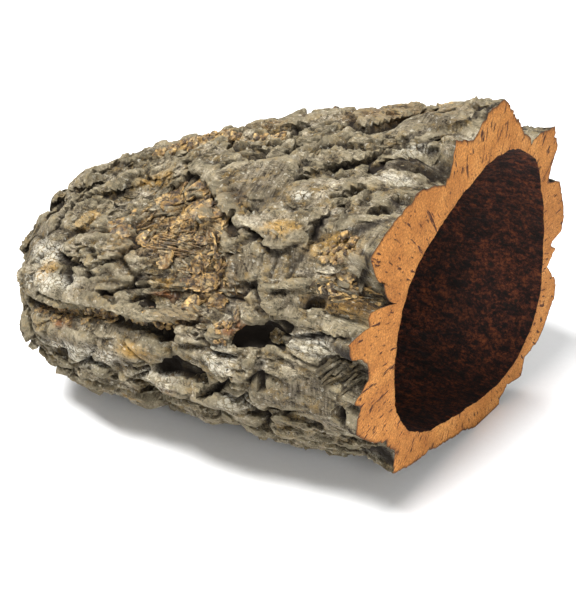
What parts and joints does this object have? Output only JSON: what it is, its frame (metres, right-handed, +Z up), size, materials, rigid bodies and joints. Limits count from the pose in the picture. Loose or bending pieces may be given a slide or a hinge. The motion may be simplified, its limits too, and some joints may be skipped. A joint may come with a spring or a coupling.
{
  "type": "cork bark tube",
  "caption": "Hollow cork bark tube lying on its side, with a wide sawn mouth, a narrower rough end and rugged grey bark.",
  "frame": {"origin": "on the surface it rests on, under the middle of its box", "axes": "+X along the tube towards the wide sawn mouth, +Z up, +Y across it, to the left as seen from the narrow end"},
  "size_m": [0.22, 0.2184, 0.1699],
  "materials": {
    "cork_bark": "weathered grey bark outside, freshly sawn orange cork at the mouth, dark red-brown inside"
  },
  "bodies": {
    "root": {"cork_bark_tube": "cork_bark"}
  },
  "joints": []
}
